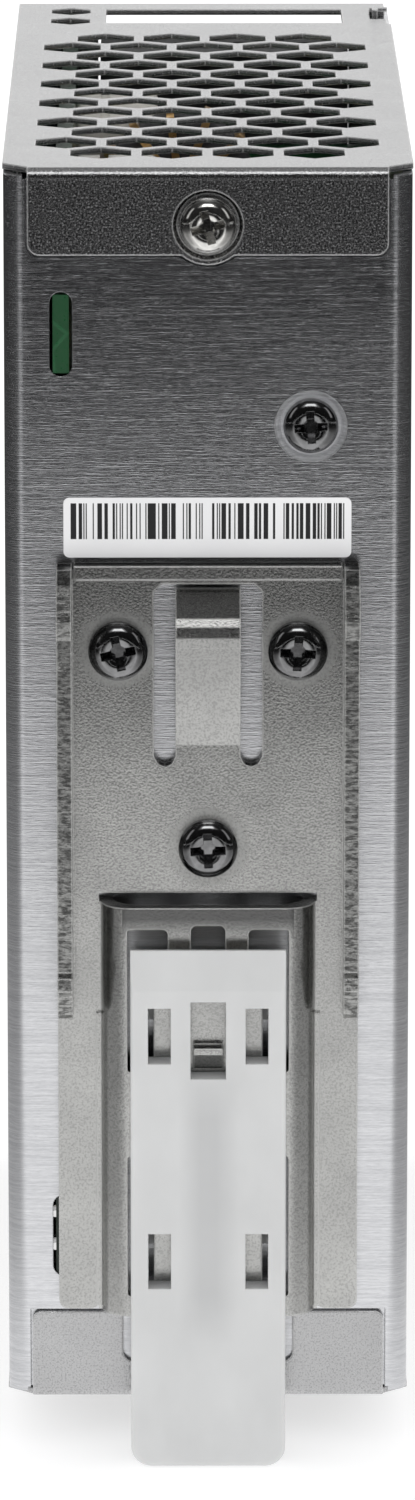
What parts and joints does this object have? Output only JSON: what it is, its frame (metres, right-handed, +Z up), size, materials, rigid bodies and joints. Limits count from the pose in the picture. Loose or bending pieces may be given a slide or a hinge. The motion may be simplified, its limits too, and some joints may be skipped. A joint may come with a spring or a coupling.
{
  "type": "din rail power supply",
  "caption": "Slim metal-cased power supply that hooks onto a 35 mm mounting rail, with a sprung plastic release latch, vented covers and rising-clamp screw terminals.",
  "frame": {"origin": "centre of the rail seat, on the plane where the rail's front face rests, half-way up the 35 mm rail", "axes": "+Z up, -Y towards the rail, +Y towards the terminals and controls, +X to the right of somebody facing the rail side"},
  "size_m": [0.0402, 0.1138, 0.1307],
  "materials": {
    "board_green": "green solder mask on glass laminate",
    "bobbin_plastic": "moulded phenolic",
    "bracket_steel": "nickel-plated steel, fine grained sheen, sheared edges",
    "can_cream": "pale shrink sleeve on an aluminium can",
    "can_sleeve": "black shrink sleeve on an aluminium can",
    "case_aluminium": "fine horizontal brushing, clear satin finish",
    "copper_wire": "enamelled copper wire",
    "cover_steel": "satin zinc-plated sheet with faint rolling grain",
    "disc_blue": "dipped lacquer",
    "disc_green": "dipped lacquer",
    "epoxy_black": "moulded black epoxy with tinned leads",
    "ferrite": "grey sintered ferrite",
    "film_clear": "dark insulating film",
    "film_yellow": "moulded film capacitor case",
    "fuse_glass": "ceramic tube with plated caps",
    "label_white": null,
    "lamp_green": "tinted clear lens",
    "latch_nylon": "natural translucent nylon",
    "nut_zinc": "zinc plate",
    "pot_plastic": "blue moulded trimmer body",
    "pot_rotor": "white moulded rotor",
    "screw_bright": "bright nickel plate",
    "screw_dark": "black nickel plate",
    "sink_aluminium": "plain extruded aluminium",
    "spring_steel": "drawn spring wire",
    "tape_yellow": "polyester tape over copper wire",
    "terminal_metal": "zinc-plated steel",
    "terminal_plastic": "black flame-retardant moulding, fine texture",
    "tin": "tinned copper"
  },
  "bodies": {
    "case": {"board_screws": "screw_bright", "board_standoffs": "nut_zinc", "bottom_cover": "cover_steel", "bracket_screws": "screw_dark", "bridge_rectifier": "epoxy_black", "bulk_capacitors": "can_sleeve", "case_shell": "case_aluminium", "control_board": "board_green", "current_bars": "tin", "din_bracket": "bracket_steel", "front_panel": "cover_steel", "heat_spreader": "sink_aluminium", "heat_spreader_screw": "screw_dark", "input_terminal_board": "board_green", "input_terminal_housing": "terminal_plastic", "inrush_thermistor": "disc_green", "insulation_sheet": "film_clear", "latch_spring": "spring_steel", "line_choke_core": "ferrite", "line_choke_winding": "copper_wire", "line_fuse": "fuse_glass", "main_pcb": "board_green", "optocouplers": "epoxy_black", "output_capacitors": "can_cream", "output_choke_core": "ferrite", "output_choke_winding": "copper_wire", "output_rectifier": "epoxy_black", "output_terminal_board": "board_green", "output_terminal_housing": "terminal_plastic", "primary_heatsink": "sink_aluminium", "primary_switches": "epoxy_black", "rear_label": "label_white", "rear_nuts": "nut_zinc", "safety_capacitors": "disc_blue", "side_screws": "screw_bright", "status_lamp": "lamp_green", "top_cover": "cover_steel", "top_cover_screw": "screw_bright", "transformer_bobbin": "bobbin_plastic", "transformer_core": "ferrite", "transformer_winding": "tape_yellow", "trim_pot_body": "pot_plastic", "varistor": "disc_blue", "x_capacitor": "film_yellow"},
    "latch": {"latch_slide": "latch_nylon"},
    "trim_rotor": {"trim_pot_rotor": "pot_rotor"},
    "output_screw_1": {"output_screw_1": "terminal_metal"},
    "output_clamp_1": {"output_clamp_1": "terminal_metal"},
    "output_screw_2": {"output_screw_2": "terminal_metal"},
    "output_clamp_2": {"output_clamp_2": "terminal_metal"},
    "output_screw_3": {"output_screw_3": "terminal_metal"},
    "output_clamp_3": {"output_clamp_3": "terminal_metal"},
    "output_screw_4": {"output_screw_4": "terminal_metal"},
    "output_clamp_4": {"output_clamp_4": "terminal_metal"},
    "input_screw_1": {"input_screw_1": "terminal_metal"},
    "input_clamp_1": {"input_clamp_1": "terminal_metal"},
    "input_screw_2": {"input_screw_2": "terminal_metal"},
    "input_clamp_2": {"input_clamp_2": "terminal_metal"},
    "input_screw_3": {"input_screw_3": "terminal_metal"},
    "input_clamp_3": {"input_clamp_3": "terminal_metal"}
  },
  "joints": [
    {"name": "latch_release", "type": "slide", "parent": "case", "child": "latch", "axis": [0, 0, -1], "range_m": [0, 0.005], "stiffness_N_per_m": 1200, "springref_m": -0.004, "deforming": ["latch_spring"]},
    {"name": "voltage_adjust", "type": "hinge", "parent": "case", "child": "trim_rotor", "pos_m": [0.006, 0.1086, 0.0332], "axis": [0, -1, 0], "range_deg": [-130, 130]},
    {"name": "output_screw_1_turn", "type": "hinge", "parent": "case", "child": "output_screw_1", "pos_m": [-0.00737, 0.1078, 0.0512], "axis": [0, -1, 0], "range_deg": [0, 1800]},
    {"name": "output_clamp_1_slide", "type": "slide", "parent": "case", "child": "output_clamp_1", "axis": [0, 1, 0], "range_m": [0, 0.0025]},
    {"name": "output_screw_2_turn", "type": "hinge", "parent": "case", "child": "output_screw_2", "pos_m": [-0.00103, 0.1078, 0.0512], "axis": [0, -1, 0], "range_deg": [0, 1800]},
    {"name": "output_clamp_2_slide", "type": "slide", "parent": "case", "child": "output_clamp_2", "axis": [0, 1, 0], "range_m": [0, 0.0025]},
    {"name": "output_screw_3_turn", "type": "hinge", "parent": "case", "child": "output_screw_3", "pos_m": [0.00532, 0.1078, 0.0512], "axis": [0, -1, 0], "range_deg": [0, 1800]},
    {"name": "output_clamp_3_slide", "type": "slide", "parent": "case", "child": "output_clamp_3", "axis": [0, 1, 0], "range_m": [0, 0.0025]},
    {"name": "output_screw_4_turn", "type": "hinge", "parent": "case", "child": "output_screw_4", "pos_m": [0.01167, 0.1078, 0.0512], "axis": [0, -1, 0], "range_deg": [0, 1800]},
    {"name": "output_clamp_4_slide", "type": "slide", "parent": "case", "child": "output_clamp_4", "axis": [0, 1, 0], "range_m": [0, 0.0025]},
    {"name": "input_screw_1_turn", "type": "hinge", "parent": "case", "child": "input_screw_1", "pos_m": [-0.00605, 0.1078, -0.0536], "axis": [0, -1, 0], "range_deg": [0, 1800]},
    {"name": "input_clamp_1_slide", "type": "slide", "parent": "case", "child": "input_clamp_1", "axis": [0, 1, 0], "range_m": [0, 0.0025]},
    {"name": "input_screw_2_turn", "type": "hinge", "parent": "case", "child": "input_screw_2", "pos_m": [0.00215, 0.1078, -0.0536], "axis": [0, -1, 0], "range_deg": [0, 1800]},
    {"name": "input_clamp_2_slide", "type": "slide", "parent": "case", "child": "input_clamp_2", "axis": [0, 1, 0], "range_m": [0, 0.0025]},
    {"name": "input_screw_3_turn", "type": "hinge", "parent": "case", "child": "input_screw_3", "pos_m": [0.01035, 0.1078, -0.0536], "axis": [0, -1, 0], "range_deg": [0, 1800]},
    {"name": "input_clamp_3_slide", "type": "slide", "parent": "case", "child": "input_clamp_3", "axis": [0, 1, 0], "range_m": [0, 0.0025]}
  ],
  "couplings": [
    {"joint": "output_screw_1_turn", "follows": "output_clamp_1_slide", "rad_per_m": 12566},
    {"joint": "output_screw_2_turn", "follows": "output_clamp_2_slide", "rad_per_m": 12566},
    {"joint": "output_screw_3_turn", "follows": "output_clamp_3_slide", "rad_per_m": 12566},
    {"joint": "output_screw_4_turn", "follows": "output_clamp_4_slide", "rad_per_m": 12566},
    {"joint": "input_screw_1_turn", "follows": "input_clamp_1_slide", "rad_per_m": 12566},
    {"joint": "input_screw_2_turn", "follows": "input_clamp_2_slide", "rad_per_m": 12566},
    {"joint": "input_screw_3_turn", "follows": "input_clamp_3_slide", "rad_per_m": 12566}
  ]
}
